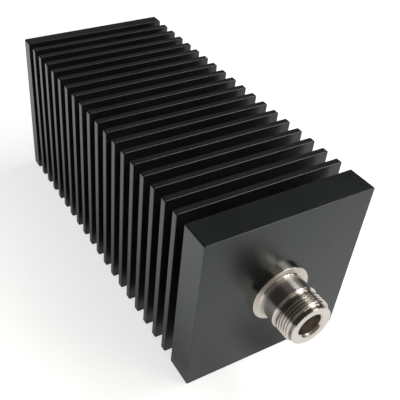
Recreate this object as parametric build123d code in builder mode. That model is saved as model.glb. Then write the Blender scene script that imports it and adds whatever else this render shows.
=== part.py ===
from build123d import *
from math import radians, tan
import os

# A coaxial load for radio-frequency power: a square finned bar with a threaded coaxial jack in the
# middle of its front block, and a film resistor on a copper carrier inside.
# Millimetres. +Z is up and the jack looks along -Y. The origin is on the ground under the middle of
# the whole object. "Reach" is measured out from the bar's front face, "depth" into the bar from it.

# Bar and fins
bar_width = 60.0
bar_corner = 0.35         # chamfer along the bar's four long edges
face_break = 0.12         # broken edges round the block, the fins and the slab
block_length = 10.3
fin_count = 18
fin_thickness = 2.25
groove_width = 4.25
slab_length = 5.0
core_diameter = 30.0

# Jack, outside. The thread is drawn plain, at its major diameter of 5/8 inch.
nose_reach = 16.3
pilot_length = 1.4        # smooth nose ahead of the thread
thread_diameter = 15.875
thread_length = 4.5       # from the relief to the pilot, its lead included
thread_lead = 0.84        # cone down to the pilot
relief_width = 1.4        # behind the thread
barrel_diameter = 15.8
barrel_foot = 0.85        # cone that runs out to the flange
collar_height = 0.25      # over the barrel
collar_land = 0.1
collar_drop = 0.66        # cone from the collar down to the relief
flange_width = 2.4        # out past the barrel
flange_thickness = 1.85
shank_length = 11.0       # screwed into the block
shank_thread = 0.6        # height of the shank's thread, which the carrier passes
shank_wall = 2.0

# Jack, inside
socket_diameter = 8.1
socket_depth = 9.1        # from the nose to the reference plane
mouth_chamfer = 0.65
line_diameter = 7.0       # bore of the air line
lip_width = 1.2
lip_height = 1.5          # shoulder that the bead sits against
bead_length = 8.0

# Contact
contact_diameter = 3.04
contact_recess = 4.35     # tip, behind the nose
contact_break = 0.2
finger_wall = 0.695
finger_hole_depth = 5.5
finger_slot = 0.35
finger_slot_depth = 4.2
neck_depth = 0.17         # where the bead grips it
tail_diameter = 1.6
tail_length = 4.0
tail_shoulder = 0.6       # full round, before the flat that takes the lead

# Carrier
carrier_diameter = 15.8
carrier_length = 81.0     # behind the shank
carrier_chamfer = 0.5
slide_clearance = 0.04    # carrier in its bore, all round
spigot_ring = 3.0         # closed ring behind the bead
pocket_tail = 4.5         # milled flat behind the resistor's plate

# Resistor
lead_width = 1.6
lead_thickness = 0.2
lead_overlap = 1.5        # length soldered on the chip
chip_width = 6.35
chip_length = 9.5
chip_thickness = 1.0
cover_gap = 0.8           # from the lead to the lid
cover_thickness = 0.9
plate_thickness = 1.5
plate_corner = 0.6
plate_margin = 1.0        # plate in front of the chip
screw_land = 11.5         # plate behind the chip
ring_gap = 4.5            # from the carrier's ring to the plate

# Screw and washer
screw_diameter = 2.5
screw_length = 6.0
screw_head_diameter = 4.5
screw_head_height = 2.5
key_width = 2.0
key_depth = 1.3
screw_hole_play = 0.2
screw_margin = 5.0        # from the screw's axis to the plate's rear end
tap_runout = 1.1
washer_diameter = 4.4
washer_thickness = 0.6
washer_split = 0.5

# Bores in the bar
thread_runout = 0.6
bore_end_gap = 0.4
drill_angle = 118.0

# What follows from these
grooves = fin_count + 1
pitch = groove_width + fin_thickness
bar_length = block_length + grooves * groove_width + fin_count * fin_thickness + slab_length
front_y = nose_reach - (nose_reach + bar_length) / 2
axis_height = bar_width / 2

thread_radius = thread_diameter / 2
pilot_radius = thread_radius - thread_lead
barrel_radius = barrel_diameter / 2
collar_radius = barrel_radius + collar_height
relief_radius = collar_radius - collar_drop
flange_radius = barrel_radius + flange_width
carrier_radius = carrier_diameter / 2
bore_radius = carrier_radius + slide_clearance
shank_radius = carrier_radius + shank_thread
spigot_radius = shank_radius - shank_wall
line_radius = line_diameter / 2
bead_radius = line_radius + lip_height
socket_radius = socket_diameter / 2
mouth_radius = socket_radius + mouth_chamfer
contact_radius = contact_diameter / 2
finger_radius = contact_radius - finger_wall
neck_radius = contact_radius - neck_depth
tail_radius = tail_diameter / 2

pilot_start = nose_reach - pilot_length
relief_end = pilot_start - thread_length
collar_end = relief_end - relief_width
collar_front = collar_end - collar_drop
collar_start = collar_front - collar_land
reference_reach = nose_reach - socket_depth
bead_reach = reference_reach - lip_width
tip_reach = nose_reach - contact_recess

bead_back = bead_length - bead_reach
pocket_start = bead_back + spigot_ring
tail_end = pocket_start + tail_length
lead_start = pocket_start + tail_shoulder
plate_start = pocket_start + ring_gap
chip_start = plate_start + plate_margin
chip_end = chip_start + chip_length
lead_end = chip_start + lead_overlap
plate_end = chip_end + screw_land
screw_depth = plate_end - screw_margin
pocket_end = plate_end + pocket_tail
carrier_end = shank_length + carrier_length
bore_end = carrier_end + bore_end_gap

# Heights over the axis: the lead lies under the tail's flat, the chip under the lead, and so on down
chip_top = -lead_thickness
plate_top = chip_top - chip_thickness
flat_level = plate_top - plate_thickness
head_level = plate_top + washer_thickness
tapped_depth = screw_length - washer_thickness - plate_thickness + tap_runout

jack_origin = Vector(0, front_y, axis_height)
jack_axis = Axis(jack_origin, (0, -1, 0))
# Half section: local x is the radius, local y is the reach
half_section = Plane(jack_origin, x_dir=(1, 0, 0), z_dir=(0, 0, -1))


def across(reach):
    """Plane square to the axis at this reach, looking out of the socket, with its y axis up."""
    return Plane(jack_origin + Vector(0, -reach, 0), x_dir=(1, 0, 0), z_dir=(0, -1, 0))


def level(height):
    """Level plane at this height over the axis: its y axis runs into the bar."""
    return Plane(jack_origin + Vector(0, 0, height), x_dir=(1, 0, 0), z_dir=(0, 0, 1))


# Heatsink: a square bar with ring grooves turned down to a round core, and a stepped bore
with BuildPart() as heatsink:
    with BuildSketch(across(0)):
        Rectangle(bar_width, bar_width)
        chamfer(vertices(), bar_corner)
    extrude(amount=-bar_length)
    with BuildSketch(half_section):
        for groove in range(grooves):
            with Locations((core_diameter / 2, -block_length - groove * pitch)):
                Rectangle(bar_width, groove_width, align=(Align.MIN, Align.MAX))
    revolve(axis=jack_axis, mode=Mode.SUBTRACT)
    outlines = heatsink.edges().filter_by(GeomType.LINE).filter_by(Axis.Y, reverse=True)
    chamfer(outlines, face_break)
    with BuildSketch(half_section):
        with BuildLine():
            Polyline(
                (0, 0),
                (shank_radius, 0),
                (shank_radius, -shank_length - thread_runout),
                (bore_radius, -shank_length - thread_runout),
                (bore_radius, -bore_end),
                (0, -bore_end - bore_radius / tan(radians(drill_angle / 2))),
                close=True,
            )
        make_face()
    revolve(axis=jack_axis, mode=Mode.SUBTRACT)
heatsink.part.label = "heatsink"

# Connector body: one turned piece, from the nose with its socket to the shank
with BuildPart() as connector_body:
    with BuildSketch(half_section):
        with BuildLine():
            Polyline(
                (mouth_radius, nose_reach),
                (pilot_radius, nose_reach),
                (pilot_radius, pilot_start),
                (thread_radius, pilot_start - thread_lead),
                (thread_radius, relief_end),
                (relief_radius, relief_end),
                (relief_radius, collar_end),
                (collar_radius, collar_front),
                (collar_radius, collar_start),
                (barrel_radius, collar_start),
                (barrel_radius, flange_thickness),
                (flange_radius, flange_thickness),
                (flange_radius, 0),
                (shank_radius, 0),
                (shank_radius, -shank_length),
                (spigot_radius, -shank_length),
                (spigot_radius, -bead_back),
                (bead_radius, -bead_back),
                (bead_radius, bead_reach),
                (line_radius, bead_reach),
                (line_radius, reference_reach),
                (socket_radius, reference_reach),
                (socket_radius, nose_reach - mouth_chamfer),
                close=True,
            )
        make_face()
        foot = vertices().sort_by_distance((barrel_radius, flange_thickness))[0]
        chamfer(foot, barrel_foot)
    revolve(axis=jack_axis)
connector_body.part.label = "connector_body"

# Centre contact: four spring fingers at the tip, a neck for the bead, and a tail with a flat
with BuildPart() as centre_contact:
    with BuildSketch(half_section):
        with BuildLine():
            Polyline(
                (0, tip_reach - finger_hole_depth),
                (finger_radius, tip_reach - finger_hole_depth),
                (finger_radius, tip_reach),
                (contact_radius, tip_reach),
                (contact_radius, bead_reach),
                (neck_radius, bead_reach),
                (neck_radius, -bead_back),
                (contact_radius, -bead_back),
                (contact_radius, -pocket_start),
                (tail_radius, -pocket_start),
                (tail_radius, -tail_end),
                (0, -tail_end),
                close=True,
            )
        make_face()
        tip = vertices().sort_by_distance((contact_radius, tip_reach))[0]
        chamfer(tip, contact_break)
    revolve(axis=jack_axis)
    with BuildSketch(across(tip_reach)):
        Rectangle(2 * contact_diameter, finger_slot)
        Rectangle(finger_slot, 2 * contact_diameter)
    extrude(amount=-finger_slot_depth, mode=Mode.SUBTRACT)
    with BuildSketch(across(-lead_start)):
        Rectangle(2 * tail_diameter, tail_diameter, align=(Align.CENTER, Align.MAX))
    extrude(amount=-tail_length, mode=Mode.SUBTRACT)
centre_contact.part.label = "centre_contact"

# Bead: grips the contact's neck between the body's lip and the carrier's ring
with BuildPart() as contact_bead:
    with BuildSketch(across(bead_reach)):
        Circle(bead_radius)
        Circle(neck_radius, mode=Mode.SUBTRACT)
    extrude(amount=-bead_length)
contact_bead.part.label = "contact_bead"

# Carrier: a copper rod with a spigot in the shank, open above a milled flat
with BuildPart() as load_carrier:
    with BuildSketch(half_section):
        with BuildLine():
            Polyline(
                (line_radius, -bead_back),
                (spigot_radius, -bead_back),
                (spigot_radius, -shank_length),
                (carrier_radius, -shank_length),
                (carrier_radius, -carrier_end),
                (0, -carrier_end),
                (0, -pocket_start),
                (line_radius, -pocket_start),
                close=True,
            )
        make_face()
        rear = vertices().sort_by_distance((carrier_radius, -carrier_end))[0]
        chamfer(rear, carrier_chamfer)
    revolve(axis=jack_axis)
    with BuildSketch(across(-pocket_start)):
        with Locations((0, flat_level)):
            Rectangle(carrier_diameter, carrier_diameter, align=(Align.CENTER, Align.MIN))
    extrude(amount=pocket_start - pocket_end, mode=Mode.SUBTRACT)
    with Locations(level(flat_level)):
        with Locations((0, screw_depth)):
            Hole(screw_diameter / 2, tapped_depth)
load_carrier.part.label = "load_carrier"

# Resistor flange: rounded plate with one screw hole
with BuildPart() as resistor_flange:
    with BuildSketch(level(plate_top)):
        with Locations((0, plate_start)):
            Rectangle(chip_width, plate_end - plate_start, align=(Align.CENTER, Align.MIN))
        fillet(vertices(), plate_corner)
        with Locations((0, screw_depth)):
            Circle(screw_diameter / 2 + screw_hole_play, mode=Mode.SUBTRACT)
    extrude(amount=-plate_thickness)
resistor_flange.part.label = "resistor_flange"

with BuildPart() as resistor_chip:
    with BuildSketch(level(chip_top)):
        with Locations((0, chip_start)):
            Rectangle(chip_width, chip_length, align=(Align.CENTER, Align.MIN))
    extrude(amount=-chip_thickness)
resistor_chip.part.label = "resistor_chip"

with BuildPart() as resistor_cover:
    with BuildSketch(level(chip_top)):
        with Locations((0, chip_end)):
            Rectangle(chip_width, chip_end - lead_end - cover_gap, align=(Align.CENTER, Align.MAX))
    extrude(amount=cover_thickness)
resistor_cover.part.label = "resistor_cover"

with BuildPart() as resistor_lead:
    with BuildSketch(level(chip_top)):
        with Locations((0, lead_start)):
            Rectangle(lead_width, lead_end - lead_start, align=(Align.CENTER, Align.MIN))
    extrude(amount=lead_thickness)
resistor_lead.part.label = "resistor_lead"

# Cap screw with a hexagon key hole, and the split washer under its head
with BuildPart() as resistor_screw:
    with Locations(level(head_level)):
        with Locations((0, screw_depth)):
            Cylinder(screw_head_diameter / 2, screw_head_height,
                     align=(Align.CENTER, Align.CENTER, Align.MIN))
            Cylinder(screw_diameter / 2, screw_length, align=(Align.CENTER, Align.CENTER, Align.MAX))
    with BuildSketch(level(head_level + screw_head_height)):
        with Locations((0, screw_depth)):
            RegularPolygon(key_width / 2, 6, major_radius=False)
    extrude(amount=-key_depth, mode=Mode.SUBTRACT)
resistor_screw.part.label = "resistor_screw"

with BuildPart() as spring_washer:
    with BuildSketch(level(plate_top)):
        with Locations((0, screw_depth)):
            Circle(washer_diameter / 2)
            Circle(screw_diameter / 2, mode=Mode.SUBTRACT)
            Rectangle(washer_diameter, washer_split, align=(Align.MIN, Align.CENTER), mode=Mode.SUBTRACT)
    extrude(amount=washer_thickness)
spring_washer.part.label = "spring_washer"

os.makedirs("parts", exist_ok=True)
for piece in (
    heatsink,
    connector_body,
    centre_contact,
    contact_bead,
    load_carrier,
    resistor_flange,
    resistor_chip,
    resistor_cover,
    resistor_lead,
    resistor_screw,
    spring_washer,
):
    export_step(piece.part, "parts/" + piece.part.label + ".step")
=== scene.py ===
from math import cos, pi, radians, sin, tan

import bmesh
import bpy
from mathutils import Matrix, Vector


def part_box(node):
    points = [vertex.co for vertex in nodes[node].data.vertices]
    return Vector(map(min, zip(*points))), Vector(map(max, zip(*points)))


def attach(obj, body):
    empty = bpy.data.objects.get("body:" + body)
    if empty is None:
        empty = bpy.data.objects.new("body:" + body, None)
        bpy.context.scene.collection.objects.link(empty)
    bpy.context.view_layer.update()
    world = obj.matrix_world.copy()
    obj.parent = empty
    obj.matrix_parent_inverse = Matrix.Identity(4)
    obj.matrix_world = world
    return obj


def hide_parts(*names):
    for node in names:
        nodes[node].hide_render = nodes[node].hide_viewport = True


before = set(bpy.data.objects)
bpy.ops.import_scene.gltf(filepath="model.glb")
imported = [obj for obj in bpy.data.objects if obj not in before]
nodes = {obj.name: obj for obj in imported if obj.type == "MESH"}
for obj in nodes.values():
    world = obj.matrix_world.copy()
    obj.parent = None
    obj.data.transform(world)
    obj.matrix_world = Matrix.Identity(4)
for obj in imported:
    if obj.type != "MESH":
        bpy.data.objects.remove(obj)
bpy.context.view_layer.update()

MM = 0.001
SAME_POINT = 1e-6        # vertices nearer to each other than this, in metres, count as one
scene = bpy.context.scene

# The jack's axis runs along Y. Reach is measured out from the bar's front face, towards -Y, in mm.
FRONT_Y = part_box("heatsink")[0].y
AXIS_Z = (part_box("heatsink")[0].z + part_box("heatsink")[1].z) / 2


def ahead(reach):
    """The Y of a place this far ahead of the bar's front face."""
    return FRONT_Y - reach * MM


# The camera, as it was fitted to the photo's edges. Its place is in mm.

SENSOR_WIDTH, FOCAL_LENGTH = 36.0, 56.598
LENS_SHIFT = (0.12268, 0.030215)
CLIP_RANGE = (0.01, 50.0)
CAMERA_PLACE = Vector((-103.659, -156.466, 170.709))
CAMERA_RIGHT = Vector((0.87837269, -0.47596584, 0.04379426))
CAMERA_DOWN = Vector((-0.27489754, -0.5780062, -0.76833598))
CAMERA_FORWARD = Vector((0.39101503, 0.66284641, -0.6385467))


def place_camera():
    data = bpy.data.cameras.new("camera")
    data.sensor_width, data.lens = SENSOR_WIDTH, FOCAL_LENGTH
    data.shift_x, data.shift_y = LENS_SHIFT
    data.clip_start, data.clip_end = CLIP_RANGE
    camera = bpy.data.objects.new("camera", data)
    scene.collection.objects.link(camera)
    turn = Matrix((CAMERA_RIGHT, -CAMERA_DOWN, -CAMERA_FORWARD)).transposed().to_4x4()
    camera.matrix_world = Matrix.Translation(CAMERA_PLACE * MM) @ turn
    scene.camera = camera


# Helpers for modelling

def clear_selection():
    if bpy.context.object and bpy.context.object.mode != "OBJECT":
        bpy.ops.object.mode_set(mode="OBJECT")
    bpy.ops.object.select_all(action="DESELECT")


def pick(piece):
    clear_selection()
    piece.select_set(True)
    bpy.context.view_layer.objects.active = piece


def edit(piece):
    pick(piece)
    bpy.ops.object.mode_set(mode="EDIT")


def wire_outline(name, points):
    """A closed outline of extruded points in the plane x = radius, y = -reach, left in edit mode."""
    bpy.ops.mesh.primitive_plane_add(size=MM)
    piece = bpy.context.object
    piece.name = piece.data.name = name
    bpy.ops.object.mode_set(mode="EDIT")
    bpy.ops.mesh.select_all(action="SELECT")
    bpy.ops.mesh.merge(type="CENTER")
    here = Vector((0, 0, 0))
    for i, (radius, reach) in enumerate(points):
        there = Vector((radius, -reach, 0)) * MM
        if i == 0:
            bpy.ops.transform.translate(value=there)
        else:
            bpy.ops.mesh.extrude_region_move(TRANSFORM_OT_translate={"value": there - here})
        here = there
    bpy.ops.mesh.select_all(action="SELECT")
    bpy.ops.mesh.edge_face_add()
    return piece


def select_corner(piece, corner):
    """In edit mode, selects the vertices that lie at this corner."""
    bpy.ops.mesh.select_mode(type="VERT")
    bpy.ops.mesh.select_all(action="DESELECT")
    mesh = bmesh.from_edit_mesh(piece.data)
    for vertex in mesh.verts:
        vertex.select = (vertex.co - corner).length < SAME_POINT
    mesh.select_flush(True)
    bmesh.update_edit_mesh(piece.data)


def clean_surface():
    """In edit mode, joins the vertices that coincide and turns all faces outward."""
    bpy.ops.mesh.select_all(action="SELECT")
    bpy.ops.mesh.remove_doubles(threshold=SAME_POINT)
    bpy.ops.mesh.normals_make_consistent(inside=False)
    bpy.ops.object.mode_set(mode="OBJECT")


def settle(piece):
    """Moves the piece's mesh onto the jack's axis and leaves its object at the origin."""
    pick(piece)
    piece.location = (0, FRONT_Y, AXIS_Z)
    bpy.ops.object.transform_apply(location=True, rotation=True, scale=True)


# The connector body, in mm

NOSE = 16.3
THREAD_R = 7.9375
BODY_OUTLINE = [
    # radius, reach, rounding
    (4.74, NOSE, 0.34),             # mouth
    (7.0975, NOSE, 0.14),           # pilot
    (7.0975, 14.90, 0.40),
    (THREAD_R, 14.06, 0.15),        # thread, behind its lead cone
    (THREAD_R, 10.45, 0.12),
    (7.35, 10.10, 0.12),            # relief
    (7.35, 9.14, 0.50),
    (8.15, 8.34, 0.06),             # collar
    (8.15, 8.24, 0.04),
    (7.90, 8.24, 0),                # barrel
    (7.90, 1.85, 0.95),
    (10.30, 1.85, 0.20),            # flange
    (10.30, 0.00, 0.06),
    (8.50, 0.00, 0),                # shank, inside the bar
    (8.50, -11.00, 0.3),
    (6.50, -11.00, 0),              # bore for the carrier's spigot
    (6.50, -2.00, 0),
    (5.00, -2.00, 0),               # bore for the bead
    (5.00, 6.00, 0),
    (3.50, 6.00, 0),                # lip ahead of the bead
    (3.50, 7.20, 0.05),
    (4.05, 7.20, 0),                # socket, from its floor to the mouth
    (4.05, 15.61, 0.12),
]
BODY_STEPS = 160                    # round the axis
BEVEL_SHARE = 0.9                   # of the rounding, as the bevel's offset
WIDE_ROUNDING = 0.3                 # a rounding over this gets more steps
WIDE_STEPS, FINE_STEPS = 8, 4
SMOOTH_BELOW = radians(28)


def turn_body():
    body = wire_outline("jack_body", [(radius, reach) for radius, reach, _ in BODY_OUTLINE])
    for radius, reach, rounding in BODY_OUTLINE:
        if rounding:
            select_corner(body, Vector((radius, -reach, 0)) * MM)
            steps = WIDE_STEPS if rounding > WIDE_ROUNDING else FINE_STEPS
            bpy.ops.mesh.bevel(affect="VERTICES", offset=rounding * MM * BEVEL_SHARE,
                               offset_type="OFFSET", segments=steps, profile=0.5)
    bpy.ops.mesh.select_all(action="SELECT")
    bpy.ops.mesh.delete(type="ONLY_FACE")
    bpy.ops.mesh.select_all(action="SELECT")
    bpy.ops.mesh.spin(steps=BODY_STEPS, angle=2 * pi, center=(0, 0, 0), axis=(0, 1, 0))
    clean_surface()
    return body


# The thread's groove, in mm

PITCH = 1.0583
ROOT_R = 7.37
GROOVE_HALF = [
    # height over the root, half width
    (0.00, 0.08),
    (0.04, 0.12),
    (0.50, 0.345),
    (0.57, 0.40),
    (0.90, 0.45),
]
GROOVE_FIRST = 1.35      # behind the nose, inside the lead cone
GROOVE_LAST = 6.45       # behind the nose, in the relief
LEFT_GROOVE = 2.33       # behind the nose, on the -X side
STEPS_A_TURN = 96


def thread_cutter():
    """The helical groove as a solid, from the lead cone to the relief."""
    length = GROOVE_LAST - GROOVE_FIRST
    turns = length / PITCH
    outline = [(ROOT_R + height, half) for height, half in GROOVE_HALF]
    outline += [(ROOT_R + height, -half) for height, half in reversed(GROOVE_HALF)]
    cutter = wire_outline("thread_cutter", outline)
    bpy.ops.mesh.delete(type="ONLY_FACE")
    bpy.ops.object.mode_set(mode="OBJECT")
    sweep = cutter.modifiers.new("helix", "SCREW")
    sweep.axis = "Y"
    sweep.angle = 2 * pi * turns
    sweep.screw_offset = length * MM
    sweep.iterations = 1
    sweep.steps = sweep.render_steps = int(STEPS_A_TURN * turns)
    sweep.use_merge_vertices = False
    bpy.ops.object.modifier_apply(modifier="helix")
    edit(cutter)
    bpy.ops.mesh.select_all(action="DESELECT")
    bpy.ops.mesh.select_mode(type="EDGE")
    bpy.ops.mesh.select_non_manifold()
    bpy.ops.mesh.edge_face_add()
    bpy.ops.mesh.select_all(action="SELECT")
    bpy.ops.mesh.normals_make_consistent(inside=False)
    bpy.ops.object.mode_set(mode="OBJECT")
    first_angle = 180 + 360 * (GROOVE_FIRST - LEFT_GROOVE) / PITCH
    cutter.rotation_euler = (0, radians(first_angle), 0)
    cutter.location = (0, (GROOVE_FIRST - NOSE) * MM, 0)
    bpy.ops.object.transform_apply(location=True, rotation=True, scale=True)
    return cutter


def cut_thread(body):
    cutter = thread_cutter()
    pick(body)
    cut = body.modifiers.new("thread", "BOOLEAN")
    cut.operation = "DIFFERENCE"
    cut.solver = "EXACT"
    cut.object = cutter
    bpy.ops.object.modifier_apply(modifier="thread")
    bpy.data.objects.remove(cutter)


def connector_body():
    body = turn_body()
    cut_thread(body)
    edit(body)
    clean_surface()
    bpy.ops.object.shade_smooth_by_angle(angle=SMOOTH_BELOW)
    even = body.modifiers.new("even_normals", "WEIGHTED_NORMAL")
    even.keep_sharp = True
    even.weight = 90
    bpy.ops.object.modifier_apply(modifier="even_normals")
    settle(body)
    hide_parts("connector_body")
    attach(body, "root")
    return body


# Helpers for nodes. A value is a number, a vector, a colour or another node's output.

MIX_SOCKETS = {"FLOAT": (2, 3, 0), "RGBA": (6, 7, 2)}    # a Mix node's two sides and its result


def feed(tree, socket, value):
    if isinstance(value, bpy.types.NodeSocket):
        tree.links.new(value, socket)
    else:
        socket.default_value = value


def math_of(tree, operation, *values):
    node = tree.nodes.new("ShaderNodeMath")
    node.operation = operation
    for socket, value in zip(node.inputs, values):
        feed(tree, socket, value)
    return node.outputs[0]


def vector_math_of(tree, operation, *values):
    node = tree.nodes.new("ShaderNodeVectorMath")
    node.operation = operation
    for socket, value in zip(node.inputs, values):
        feed(tree, socket, value)
    return node.outputs["Value" if operation in ("LENGTH", "DISTANCE") else "Vector"]


def mix_of(tree, kind, factor, first, second, blend="MIX"):
    node = tree.nodes.new("ShaderNodeMix")
    node.data_type, node.blend_type = kind, blend
    one_side, other_side, result = MIX_SOCKETS[kind]
    feed(tree, node.inputs[0], factor)
    feed(tree, node.inputs[one_side], first)
    feed(tree, node.inputs[other_side], second)
    return node.outputs[result]


def split_of(tree, vector):
    """The X, Y and Z of a vector, by name."""
    node = tree.nodes.new("ShaderNodeSeparateXYZ")
    tree.links.new(vector, node.inputs[0])
    return node.outputs


def joined(tree, **values):
    """A vector of the values named by their axes, with 0 for the axes left out."""
    node = tree.nodes.new("ShaderNodeCombineXYZ")
    for axis, value in values.items():
        tree.links.new(value, node.inputs[axis])
    return node.outputs[0]


def noise_of(tree, place, scale, detail):
    node = tree.nodes.new("ShaderNodeTexNoise")
    for label, value in (("Vector", place), ("Scale", scale), ("Detail", detail)):
        feed(tree, node.inputs[label], value)
    return node.outputs["Fac"]


NOISE_RANGE = (0.35, 0.65)          # where most of a noise's values lie


def spread(tree, value, low, high, at=NOISE_RANGE):
    """A value stretched between two numbers, and held at them beyond its two places."""
    node = tree.nodes.new("ShaderNodeMapRange")
    node.inputs["From Min"].default_value, node.inputs["From Max"].default_value = at
    node.inputs["To Min"].default_value, node.inputs["To Max"].default_value = low, high
    tree.links.new(value, node.inputs["Value"])
    return node.outputs["Result"]


def tint(tree, value, low, high):
    """A noise value turned into a colour between two."""
    node = tree.nodes.new("ShaderNodeValToRGB")
    first, last = node.color_ramp.elements
    first.position, last.position = NOISE_RANGE
    first.color, last.color = (*low, 1), (*high, 1)
    tree.links.new(value, node.inputs["Fac"])
    return node.outputs["Color"]


def banded(tree, value, start, end, bands):
    """Bands of colour along a value between two ends, each given by its place and colour."""
    ramp = tree.nodes.new("ShaderNodeValToRGB")
    stops = ramp.color_ramp.elements
    for stop, (place, color) in zip((stops[0], stops[1]), (bands[0], bands[-1])):
        stop.position, stop.color = (place - start) / (end - start), (*color, 1)
    for place, color in bands[1:-1]:
        stops.new((place - start) / (end - start)).color = (*color, 1)
    tree.links.new(spread(tree, value, 0.0, 1.0, at=(start, end)), ramp.inputs["Fac"])
    return ramp.outputs["Color"]


# Effects shared by the materials, as node groups

def effect(name, inputs, outputs):
    """A node group with these inputs, each a name, kind and value, and these outputs."""
    group = bpy.data.node_groups.new(name, "ShaderNodeTree")
    for label, kind, value in inputs:
        socket = group.interface.new_socket(name=label, in_out="INPUT", socket_type=kind)
        if value is not None:
            socket.default_value = value
    for label in outputs:
        group.interface.new_socket(name=label, in_out="OUTPUT", socket_type="NodeSocketFloat")
    given, out = group.nodes.new("NodeGroupInput"), group.nodes.new("NodeGroupOutput")
    return group, given.outputs, out.inputs


def fine_grain():
    """Etched grain, and slow cloudy change under it."""
    group, given, out = effect(
        "fine_grain",
        [("Place", "NodeSocketVector", None), ("Grain Scale", "NodeSocketFloat", 4000.0),
         ("Cloud Scale", "NodeSocketFloat", 60.0)],
        ["Grain", "Cloud"],
    )
    group.links.new(noise_of(group, given["Place"], given["Grain Scale"], detail=2.0), out["Grain"])
    group.links.new(noise_of(group, given["Place"], given["Cloud Scale"], detail=3.0), out["Cloud"])
    return group


def tool_marks():
    """Fine rings left by turning round the jack's axis, on faces and on cylinders alike."""
    group, given, out = effect(
        "tool_marks",
        [("Place", "NodeSocketVector", None), ("Axis Height", "NodeSocketFloat", AXIS_Z),
         ("Scale", "NodeSocketFloat", 5000.0)],
        ["Marks"],
    )
    place = split_of(group, given["Place"])
    above = math_of(group, "SUBTRACT", place["Z"], given["Axis Height"])
    radius = vector_math_of(group, "LENGTH", joined(group, X=place["X"], Z=above))
    rings = joined(group, X=radius, Y=place["Y"])
    group.links.new(noise_of(group, rings, given["Scale"], detail=2.0), out["Marks"])
    return group


# Materials. Depths of the relief are in metres.

GRAIN_DEPTH = 0.000004
TURNED_DEPTH = 0.0000006
TURNED_SCALE = 4200.0
GRAINED_SCALE, GRAINED_CLOUDS = 1500.0, 1500.0 / 12
END_FACING = (0.90, 0.99)           # from here on a normal's Y counts as a face square to the axis
WORN_BY_MARKS = (1.08, 0.94)        # factors on the roughness, in and between the tool marks
WORN_BY_GRAIN = (1.15, 0.85)        # and so for the grain
FLANGE_ROUGHER = 1.5
FLANGE_STARTS = (ahead(2.1), ahead(1.9))
RIM_SMOOTHER = 0.33
RIM_STARTS = (10.22 * MM, 10.28 * MM)


def finish(name, color, roughness, metallic=0.0, ior=1.5):
    """A material with its Principled shader and an Object coordinate to hang detail on."""
    made = bpy.data.materials.new(name)
    made.use_nodes = True
    tree = made.node_tree
    shader = tree.nodes["Principled BSDF"]
    shader.inputs["Base Color"].default_value = (*color, 1)
    shader.inputs["Roughness"].default_value = roughness
    shader.inputs["Metallic"].default_value = metallic
    shader.inputs["IOR"].default_value = ior
    place = tree.nodes.new("ShaderNodeTexCoord").outputs["Object"]
    return made, tree, shader, place


def put_effect(tree, group, place, **values):
    """A shared effect's outputs, with its inputs named by words joined with underscores."""
    node = tree.nodes.new("ShaderNodeGroup")
    node.node_tree = group
    tree.links.new(place, node.inputs["Place"])
    for label, value in values.items():
        node.inputs[label.replace("_", " ")].default_value = value
    return node.outputs


def emboss(tree, shader, height, depth):
    """Relief from a noise value, this deep."""
    bump = tree.nodes.new("ShaderNodeBump")
    bump.inputs["Strength"].default_value = 1.0
    bump.inputs["Distance"].default_value = depth
    tree.links.new(height, bump.inputs["Height"])
    tree.links.new(bump.outputs["Normal"], shader.inputs["Normal"])


def black_anodised(grain_group):
    made, tree, shader, place = finish("black_anodised", (0.018, 0.020, 0.021), roughness=0.33, ior=1.61)
    shader.inputs["Specular Tint"].default_value = (0.88, 0.985, 1.0, 1)
    grain = put_effect(tree, grain_group, place, Grain_Scale=2600.0, Cloud_Scale=70.0)
    color = tint(tree, grain["Cloud"], low=(0.0135, 0.0146, 0.0156), high=(0.0175, 0.0188, 0.0200))
    tree.links.new(color, shader.inputs["Base Color"])
    tree.links.new(spread(tree, grain["Cloud"], low=0.27, high=0.31), shader.inputs["Roughness"])
    emboss(tree, shader, grain["Grain"], GRAIN_DEPTH)
    return made


def across_the_rings(tree, place, shader):
    """Turns the shader's tangent so that light spreads across the tool marks, not along them.
    Gives the distance from the axis."""
    out_to = vector_math_of(tree, "SUBTRACT", place, (0, 0, AXIS_Z))
    round_it = vector_math_of(tree, "CROSS_PRODUCT", out_to, (0, 1, 0))
    over_it = vector_math_of(tree, "CROSS_PRODUCT", place.node.outputs["Normal"], round_it)
    tree.links.new(over_it, shader.inputs["Tangent"])
    return vector_math_of(tree, "LENGTH", round_it)


def paint_groove_shade(tree, radius, y, color):
    """Paints shade into a colour, by places in mm: painted shade in the thread's grooves, and painted
    shade on the smooth ring ahead of them where that ring reflects darker.
    """
    # no shade, painted shade in the grooves, and painted shade on the smooth ring ahead of the thread
    bright, groove_shade, dark = (1, 1, 1), (0.52, 0.50, 0.48), (0.38, 0.36, 0.35)
    by_radius = [(6.50, bright), (6.70, dark), (7.15, dark), (7.28, groove_shade), (7.45, groove_shade), (7.70, bright)]
    by_reach = [(16.05, bright), (15.85, dark), (14.90, dark), (14.70, bright), (14.55, bright),
                (14.30, groove_shade)]
    low = banded(tree, radius, 6.0 * MM, 8.0 * MM, [(at * MM, shade) for at, shade in by_radius])
    away = banded(tree, y, ahead(16.5), ahead(14.0), [(ahead(at), shade) for at, shade in by_reach])
    kept = mix_of(tree, "RGBA", 1.0, low, away, blend="LIGHTEN")
    return mix_of(tree, "RGBA", 1.0, color, kept, blend="MULTIPLY")


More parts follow.
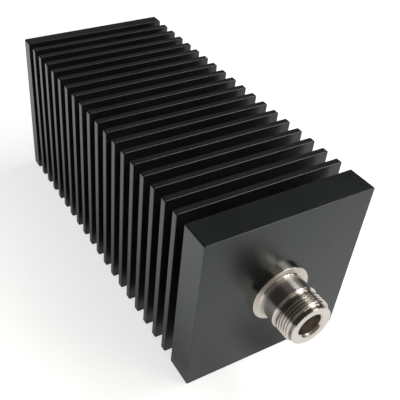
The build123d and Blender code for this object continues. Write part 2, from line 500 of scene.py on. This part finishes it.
def turned_metal(name, marks_group, color, shade, roughness, end_roughness, depth=TURNED_DEPTH,
                 across=0.0, with_groove_shade=False):
    """Turned metal, with a roughness of its own on the faces square to the axis. Where light spreads
    across the marks, the flange is rougher and its rim is smoother; on a thread, the colour also carries
    painted shade in the grooves and on the smooth ring ahead of them."""
    made, tree, shader, place = finish(name, color, roughness, metallic=1.0)
    marks = put_effect(tree, marks_group, place, Axis_Height=AXIS_Z, Scale=TURNED_SCALE)["Marks"]
    surface = tint(tree, marks, low=shade, high=color)
    facing = math_of(tree, "ABSOLUTE", split_of(tree, place.node.outputs["Normal"])["Y"])
    rough = spread(tree, facing, roughness, end_roughness, at=END_FACING)
    if across:
        radius = across_the_rings(tree, place, shader)
        y = split_of(tree, place)["Y"]
        # painted shade in the thread's grooves and on the smooth ring ahead of them
        if with_groove_shade:
            surface = paint_groove_shade(tree, radius, y, surface)
        on_flange = spread(tree, y, 1.0, FLANGE_ROUGHER, at=FLANGE_STARTS)
        on_rim = spread(tree, radius, 1.0, RIM_SMOOTHER, at=RIM_STARTS)
        rough = math_of(tree, "MULTIPLY", math_of(tree, "MULTIPLY", rough, on_flange), on_rim)
        shader.inputs["Anisotropic"].default_value = across
    tree.links.new(surface, shader.inputs["Base Color"])
    uneven = math_of(tree, "MULTIPLY", rough, spread(tree, marks, *WORN_BY_MARKS))
    tree.links.new(uneven, shader.inputs["Roughness"])
    emboss(tree, shader, marks, depth)
    return made


def grained(name, grain_group, low, high, roughness, metallic):
    made, tree, shader, place = finish(name, high, roughness, metallic)
    grain = put_effect(tree, grain_group, place, Grain_Scale=GRAINED_SCALE, Cloud_Scale=GRAINED_CLOUDS)
    tree.links.new(tint(tree, grain["Cloud"], low, high), shader.inputs["Base Color"])
    rougher, smoother = (roughness * share for share in WORN_BY_GRAIN)
    tree.links.new(spread(tree, grain["Grain"], rougher, smoother), shader.inputs["Roughness"])
    emboss(tree, shader, grain["Grain"], GRAIN_DEPTH)
    return made


def dress(name, material):
    """Gives a CAD node, or a new piece, its finish in every slot."""
    piece = nodes[name] if isinstance(name, str) else name
    if not piece.data.materials:
        piece.data.materials.append(material)
    for i in range(len(piece.data.materials)):
        piece.data.materials[i] = material


END_NORMAL = 0.93                   # a face whose normal's Y is over this lies square to the axis


def face_ends(piece, material):
    """Gives the flat faces square to the axis a second finish."""
    piece.data.materials.append(material)
    edit(piece)
    bpy.ops.mesh.select_mode(type="FACE")
    bpy.ops.mesh.select_all(action="DESELECT")
    mesh = bmesh.from_edit_mesh(piece.data)
    for face in mesh.faces:
        face.select = abs(face.normal.y) > END_NORMAL
    bmesh.update_edit_mesh(piece.data)
    piece.active_material_index = len(piece.data.materials) - 1
    bpy.ops.object.material_slot_assign()
    bpy.ops.object.mode_set(mode="OBJECT")


# The stage. The sheet's places are in metres, and the lamps are set by angles seen from the object.

SHEET_SIZE = 12.0
SHEET_FRONT = -0.2                  # the white sheet's front edge
SHEET_GLOW = 0.39                   # in mirrors
PAINTED_GLOW_BESIDE = [
    # X on the sheet, glow there in mirrors: painted shade near the bar's foot, painted light further out
    (-0.105, SHEET_GLOW), (-0.080, 0.90), (-0.050, 0.58), (-0.034, 0.24), (-0.029, SHEET_GLOW)]
GLOW_BESIDE_SPAN = (-0.12, 0.0)
GLOW_BESIDE_STARTS = (-0.062, -0.054)       # Y, at the front of the bar
UNDER_JACK = (0.004, -0.067, 0.0)
# a painted shadow on the sheet under the jack, seen in mirrors
PAINTED_JACK_SHADOW = (0.005, 0.013)         # from UNDER_JACK, where the glow is gone and where it is whole
SKY = [
    # Y of the direction looked in, colour there
    (-0.84, (0.180, 0.157, 0.132)),
    (-0.56, (0.060, 0.058, 0.055)),
    (0.12, (0.085, 0.088, 0.092))]
LAMP_DISTANCE = 1.3
LAMPS = [
    # name, azimuth, elevation, width and height in degrees, radiance, colour
    ("key", 46, 32, 44, 16, 1.3, (1.0, 0.98, 0.95)),
    ("high", 47, 42, 28, 20, 3.2, (1.0, 0.96, 0.90)),
    ("front", 4, 56, 24, 14, 1.6, (1.0, 0.94, 0.84)),
    ("over", 87, 57, 28, 24, 3.7, (1.0, 0.98, 0.95)),
    ("low", 80, 26, 30, 8, 2.4, (1.0, 1.0, 1.0)),
    ("back", 190, 34, 40, 22, 0.35, (0.96, 0.98, 1.0)),
]


def painted_glow_in_mirrors(tree):
    """How much the sheet glows in mirrors: evenly, but painted brighter to the left of the bar, with
    painted shade at its foot and a painted shadow under the jack, where it doesn't glow at all."""
    place = tree.nodes.new("ShaderNodeNewGeometry").outputs["Position"]
    along = split_of(tree, place)
    bands = [(x, (glow, glow, glow)) for x, glow in PAINTED_GLOW_BESIDE]
    beside = banded(tree, along["X"], *GLOW_BESIDE_SPAN, bands)
    is_beside = spread(tree, along["Y"], 0.0, 1.0, at=GLOW_BESIDE_STARTS)
    glow = mix_of(tree, "FLOAT", is_beside, SHEET_GLOW, beside)
    from_jack = vector_math_of(tree, "DISTANCE", place, UNDER_JACK)
    return math_of(tree, "MULTIPLY", glow, spread(tree, from_jack, 0.0, 1.0, at=PAINTED_JACK_SHADOW))


def half_of_the_floor(name, y, color, to_camera, in_mirrors):
    """A wide sheet that glows a little, and only towards the camera and, if told, in mirrors."""
    clear_selection()
    bpy.ops.mesh.primitive_plane_add(size=SHEET_SIZE, location=(0, y, 0))
    sheet = bpy.context.object
    sheet.name = name
    made = bpy.data.materials.new(name)
    made.use_nodes = True
    tree = made.node_tree
    shader = tree.nodes["Principled BSDF"]
    shader.inputs["Base Color"].default_value = (*color, 1)
    shader.inputs["Roughness"].default_value = 0.9
    shader.inputs["Specular IOR Level"].default_value = 0.0
    shader.inputs["Emission Color"].default_value = (1, 1, 1, 1)
    look = tree.nodes.new("ShaderNodeLightPath").outputs
    mirrored = 0.0
    if in_mirrors:
        mirrored = math_of(tree, "MULTIPLY", look["Is Glossy Ray"], painted_glow_in_mirrors(tree))
    glow = math_of(tree, "MULTIPLY_ADD", look["Is Camera Ray"], to_camera, mirrored)
    tree.links.new(glow, shader.inputs["Emission Strength"])
    sheet.data.materials.append(made)


def floor():
    """White under the object and behind it, and dark far in front of it for all but the camera."""
    half = SHEET_SIZE / 2
    half_of_the_floor("white_sheet", SHEET_FRONT + half, color=(0.88, 0.88, 0.88), to_camera=0.7,
                      in_mirrors=True)
    half_of_the_floor("dark_table", SHEET_FRONT - half, color=(0.06, 0.055, 0.05), to_camera=1.0,
                      in_mirrors=False)


def room():
    """White to the camera, and dim all round to everything else."""
    world = bpy.data.worlds.new("room")
    world.use_nodes = True
    scene.world = world
    tree = world.node_tree
    look = tree.nodes.new("ShaderNodeTexCoord").outputs["Generated"]
    dim = banded(tree, split_of(tree, look)["Y"], -1.0, 1.0, SKY)
    to_camera = tree.nodes.new("ShaderNodeLightPath").outputs["Is Camera Ray"]
    seen = mix_of(tree, "RGBA", to_camera, dim, (1, 1, 1, 1))
    tree.links.new(seen, tree.nodes["Background"].inputs["Color"])


def softbox(name, azimuth, elevation, wide, tall, radiance, color):
    """A rectangular lamp seen from the object at these angles: azimuth from -Y towards +X, in degrees."""
    turn, rise = radians(azimuth), radians(elevation)
    away = Vector((sin(turn) * cos(rise), -cos(turn) * cos(rise), sin(rise)))
    data = bpy.data.lights.new(name, "AREA")
    data.shape = "RECTANGLE"
    data.size = 2 * LAMP_DISTANCE * tan(radians(wide / 2))
    data.size_y = 2 * LAMP_DISTANCE * tan(radians(tall / 2))
    data.energy = radiance * data.size * data.size_y * pi
    data.color = color
    lamp = bpy.data.objects.new(name, data)
    scene.collection.objects.link(lamp)
    lamp.location = Vector((0, 0, AXIS_Z)) + away * LAMP_DISTANCE
    lamp.rotation_mode = "QUATERNION"
    lamp.rotation_quaternion = away.to_track_quat("Z", "Y")


# The object and its finishes

GRAINED_PIECES = [
    # node, finish, darker and lighter colour, roughness, metallic
    ("contact_bead", "white_ptfe", (0.80, 0.80, 0.78), (0.90, 0.90, 0.88), 0.55, 0.0),
    ("resistor_flange", "dull_nickel", (0.58, 0.56, 0.52), (0.68, 0.66, 0.62), 0.38, 1.0),
    ("resistor_chip", "ground_ceramic", (0.80, 0.79, 0.75), (0.88, 0.87, 0.84), 0.6, 0.0),
    ("resistor_cover", "pressed_ceramic", (0.72, 0.71, 0.68), (0.82, 0.81, 0.78), 0.65, 0.0),
    ("resistor_lead", "silver_strip", (0.76, 0.75, 0.72), (0.88, 0.87, 0.85), 0.28, 1.0),
    ("resistor_screw", "plain_steel", (0.46, 0.46, 0.47), (0.58, 0.58, 0.59), 0.32, 1.0),
    ("spring_washer", "dull_zinc", (0.36, 0.36, 0.38), (0.48, 0.48, 0.50), 0.45, 1.0),
]


def dress_all(jack):
    grain_group, marks_group = fine_grain(), tool_marks()
    dress(jack, turned_metal(
        "bright_nickel", marks_group, color=(0.76, 0.72, 0.67), shade=(0.70, 0.66, 0.605),
        roughness=0.25, end_roughness=0.25, depth=0.00000008, across=0.8, with_groove_shade=True))
    # the faces square to the axis get the nickel in a lighter colour than the cylinders, which is painted
    # light
    face_ends(jack, turned_metal(
        "faced_nickel_painted_lighter", marks_group, color=(0.85, 0.81, 0.76), shade=(0.80, 0.76, 0.71),
        roughness=0.36, end_roughness=0.36, depth=0.00000015, across=0.3))
    dress("heatsink", black_anodised(grain_group))
    dress("centre_contact", turned_metal(
        "gold", marks_group, color=(0.62, 0.46, 0.28), shade=(0.55, 0.40, 0.24),
        roughness=0.34, end_roughness=0.34))
    dress("load_carrier", turned_metal(
        "bare_copper", marks_group, color=(0.78, 0.43, 0.31), shade=(0.66, 0.33, 0.22),
        roughness=0.30, end_roughness=0.36))
    for node, name, low, high, roughness, metallic in GRAINED_PIECES:
        dress(node, grained(name, grain_group, low, high, roughness, metallic))


place_camera()
floor()
room()
for lamp in LAMPS:
    softbox(*lamp)
dress_all(connector_body())

scene.view_settings.view_transform = "Standard"
